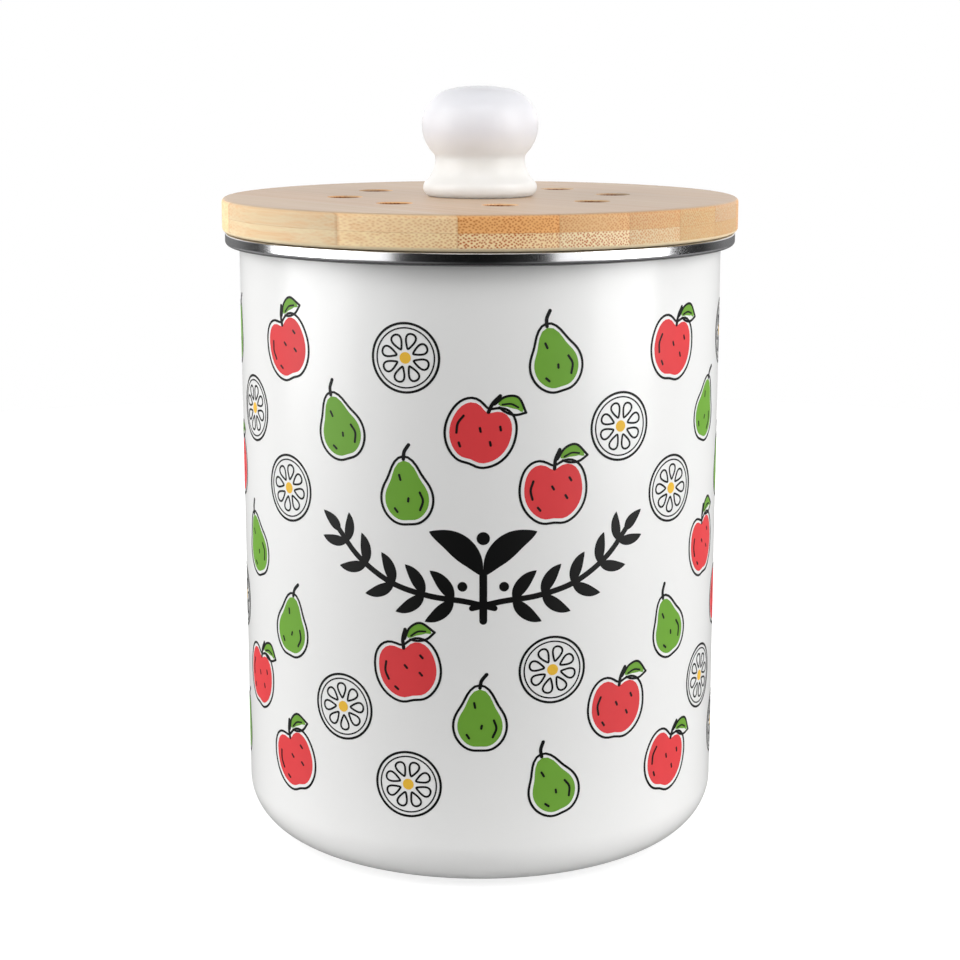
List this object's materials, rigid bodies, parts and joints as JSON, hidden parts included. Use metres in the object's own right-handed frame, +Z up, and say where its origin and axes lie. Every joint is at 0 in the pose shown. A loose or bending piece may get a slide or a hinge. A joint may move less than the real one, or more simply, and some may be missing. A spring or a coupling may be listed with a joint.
{
  "type": "compost caddy",
  "caption": "Counter-top caddy for kitchen scraps: enamelled steel canister with a steel rim and a lift-off vented bamboo lid with ceramic knob, seal and carbon filter.",
  "frame": {"origin": "centre of the base, on the surface that the caddy stands on", "axes": "+Z up along the canister's axis, -Y towards the front"},
  "size_m": [0.171, 0.171, 0.25],
  "materials": {
    "enamel": "gloss",
    "rim_steel": "polished",
    "bamboo": "satin",
    "seal": "matte",
    "knob_glaze": "gloss",
    "brass": "satin",
    "fittings": "satin",
    "filter_foam": "matte"
  },
  "bodies": {
    "canister": {"canister_body": "enamel", "rim_band": "rim_steel"},
    "lid": {"lid_top_board": "bamboo", "lid_under_board": "bamboo", "plug_ring": "bamboo", "seal_ring": "seal", "knob": "knob_glaze", "knob_insert": "brass", "knob_screw": "fittings", "knob_washer": "fittings", "filter_pad": "filter_foam", "clip_screws": "fittings", "clip_spacers": "brass"},
    "clip_1": {"filter_clip_1": "fittings"},
    "clip_2": {"filter_clip_2": "fittings"},
    "clip_3": {"filter_clip_3": "fittings"}
  },
  "joints": [
    {"name": "lid_lift", "type": "slide", "parent": "canister", "child": "lid", "axis": [0, 0, 1], "range_m": [0, 0.15]},
    {"name": "clip_1_turn", "type": "hinge", "parent": "lid", "child": "clip_1", "pos_m": [0, 0.0717, 0.1921], "axis": [0, 0, 1], "range_deg": [0, 90]},
    {"name": "clip_2_turn", "type": "hinge", "parent": "lid", "child": "clip_2", "pos_m": [-0.06209, -0.03585, 0.1921], "axis": [0, 0, 1], "range_deg": [0, 90]},
    {"name": "clip_3_turn", "type": "hinge", "parent": "lid", "child": "clip_3", "pos_m": [0.06209, -0.03585, 0.1921], "axis": [0, 0, 1], "range_deg": [0, 90]}
  ]
}
